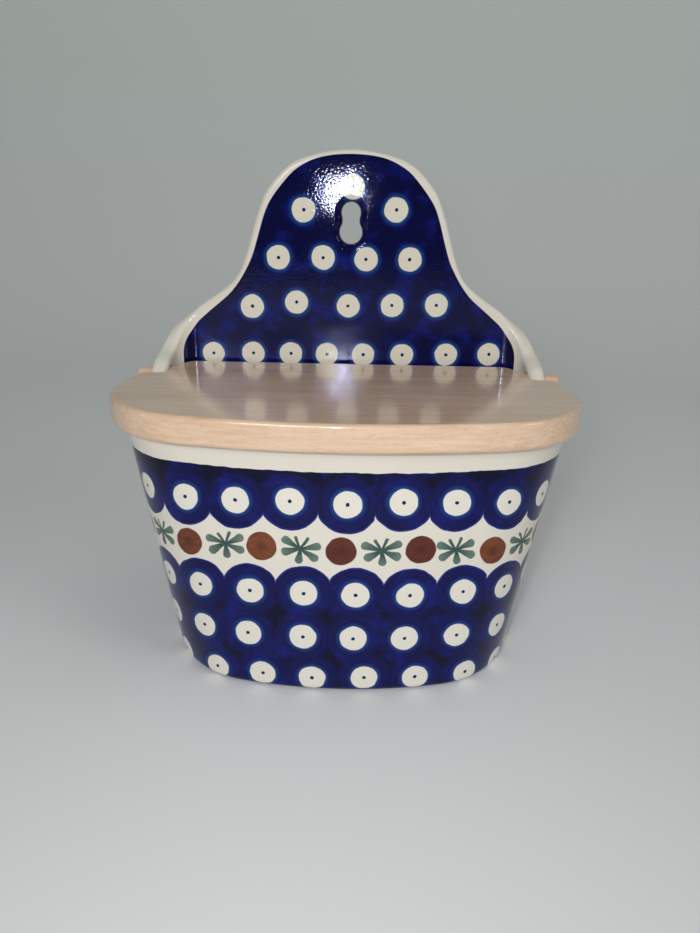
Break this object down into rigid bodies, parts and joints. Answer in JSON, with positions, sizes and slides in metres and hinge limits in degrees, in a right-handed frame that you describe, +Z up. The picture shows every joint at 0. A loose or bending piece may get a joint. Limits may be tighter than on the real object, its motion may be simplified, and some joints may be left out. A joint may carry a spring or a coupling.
{
  "type": "hanging sugar holder",
  "caption": "Wall-hung stoneware sugar holder: tapered basin with tall keyhole back plate, pivot ears and a hinged wooden lid.",
  "frame": {"origin": "middle of the overall bounding box in X and Y, on the surface that the foot stands on", "axes": "+X to the right seen from the front, +Y towards the wall, +Z up"},
  "size_m": [0.1666, 0.0966, 0.1818],
  "materials": {
    "glazed_stoneware": "glossy transparent glaze over a stamped cobalt, white, brown and green pattern, cream rim",
    "beech": "clear gloss varnish"
  },
  "bodies": {
    "pot": {"stoneware_body": "glazed_stoneware"},
    "lid": {"wooden_lid": "beech", "left_hinge_dowel": "beech", "right_hinge_dowel": "beech"}
  },
  "joints": [
    {"name": "lid_hinge", "type": "hinge", "parent": "pot", "child": "lid", "pos_m": [0, 0.03075, 0.096], "axis": [-1, 0, 0], "range_deg": [0, 94]}
  ]
}
